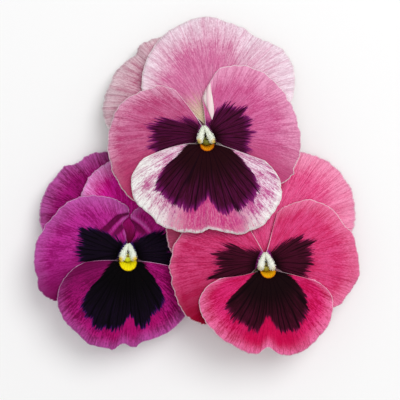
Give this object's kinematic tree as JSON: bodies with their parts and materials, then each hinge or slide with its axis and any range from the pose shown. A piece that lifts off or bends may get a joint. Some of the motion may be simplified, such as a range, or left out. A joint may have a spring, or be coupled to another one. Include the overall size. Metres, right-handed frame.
{
  "type": "pansy bloom cluster",
  "caption": "Cut pansy blooms in pink, magenta and rose, each with dark blotches round a yellow eye, lying face up and overlapping, with short bent stems beneath.",
  "frame": {"origin": "middle of the cluster's footprint, on the surface that it lies on", "axes": "+Z up, the way the blooms face; +Y towards the upper petals of every bloom and the single bloom at the top; +X to the viewer's right when looking down with +Y up"},
  "size_m": [0.1298, 0.1358, 0.0271],
  "materials": {
    "pink_petals": "velvety fresh petal, pink with pale margins, dark purple blotches and an orange eye",
    "magenta_petals": "velvety fresh petal, magenta with lilac margins, nearly black blotches and a yellow eye",
    "rose_petals": "velvety fresh petal, rose red with paler margins, nearly black blotches and an orange eye",
    "beard_hairs": "short cream hairs",
    "pistil": "moist yellow-green plant tissue",
    "anthers": "dry tan plant tissue dusted with pollen",
    "stem_green": "soft satin green plant tissue"
  },
  "bodies": {
    "root": {"top_petal_upper_back": "pink_petals", "top_petal_upper_front": "pink_petals", "top_petal_side_left": "pink_petals", "top_petal_side_right": "pink_petals", "top_petal_lower": "pink_petals", "top_beard_left": "beard_hairs", "top_beard_right": "beard_hairs", "top_pistil": "pistil", "top_anthers": "anthers", "top_stem_and_calyx": "stem_green", "left_petal_upper_back": "magenta_petals", "left_petal_upper_front": "magenta_petals", "left_petal_side_left": "magenta_petals", "left_petal_side_right": "magenta_petals", "left_petal_lower": "magenta_petals", "left_beard_left": "beard_hairs", "left_beard_right": "beard_hairs", "left_pistil": "pistil", "left_anthers": "anthers", "left_stem_and_calyx": "stem_green", "right_petal_upper_back": "rose_petals", "right_petal_upper_front": "rose_petals", "right_petal_side_left": "rose_petals", "right_petal_side_right": "rose_petals", "right_petal_lower": "rose_petals", "right_beard_left": "beard_hairs", "right_beard_right": "beard_hairs", "right_pistil": "pistil", "right_anthers": "anthers", "right_stem_and_calyx": "stem_green"}
  },
  "joints": []
}
